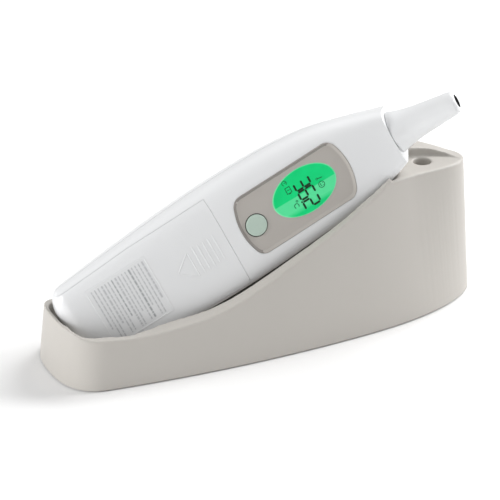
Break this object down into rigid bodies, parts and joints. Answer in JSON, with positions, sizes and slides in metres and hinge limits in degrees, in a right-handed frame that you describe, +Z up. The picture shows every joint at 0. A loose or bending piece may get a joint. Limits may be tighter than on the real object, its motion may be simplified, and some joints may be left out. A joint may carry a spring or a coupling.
{
  "type": "ear thermometer with desk base",
  "caption": "Infrared ear thermometer lying on its side in a wedge-shaped desk base, with a lit display, a round button and a bent probe.",
  "frame": {"origin": "centre of the base's footprint, on the surface that it stands on", "axes": "+X along the base towards its high end and the probe, -Y towards the display side, +Z up"},
  "size_m": [0.1574, 0.0494, 0.0795],
  "materials": {
    "warm_grey_plastic": "satin",
    "white_plastic": "satin",
    "taupe_plastic": "satin",
    "green_window": "gloss",
    "lcd": "gloss",
    "green_diffuser": "satin",
    "mint_plastic": "satin",
    "dark_plastic": "matte",
    "dark_glass": "gloss",
    "black_rubber": "matte",
    "board_green": "satin",
    "cell_wrap": "gloss",
    "steel": "satin",
    "gold": "polished",
    "aluminium": "satin"
  },
  "bodies": {
    "base": {"base_shell": "warm_grey_plastic", "base_plate": "dark_plastic", "base_feet": "black_rubber", "base_screws": "steel"},
    "thermometer": {"front_housing": "white_plastic", "rear_housing": "white_plastic", "display_panel": "taupe_plastic", "display_lens": "green_window", "lcd_glass": "lcd", "backlight": "green_diffuser", "button_switch": "dark_plastic", "main_board": "board_green", "processor": "dark_plastic", "buzzer": "dark_plastic", "probe_cone": "white_plastic", "tip_window": "dark_glass", "wave_guide": "gold", "sensor_sleeve": "aluminium", "thermopile": "gold", "battery_tray": "white_plastic", "battery_cells": "cell_wrap", "battery_springs": "steel", "battery_contacts": "steel", "housing_screws": "steel"},
    "cover": {"battery_cover": "white_plastic"},
    "button": {"button_cap": "mint_plastic"}
  },
  "joints": [
    {"name": "lift_out", "type": "slide", "parent": "base", "child": "thermometer", "axis": [0, 0.2858, 0.9583], "range_m": [0, 0.07]},
    {"name": "cover_release", "type": "slide", "parent": "thermometer", "child": "cover", "axis": [-0.9178, 0, -0.3971], "range_m": [0, 0.0007]},
    {"name": "power_button", "type": "slide", "parent": "thermometer", "child": "button", "axis": [0.1227, 0.9511, -0.2836], "range_m": [0, 0.0005], "stiffness_N_per_m": 400, "springref_m": -0.0006}
  ]
}
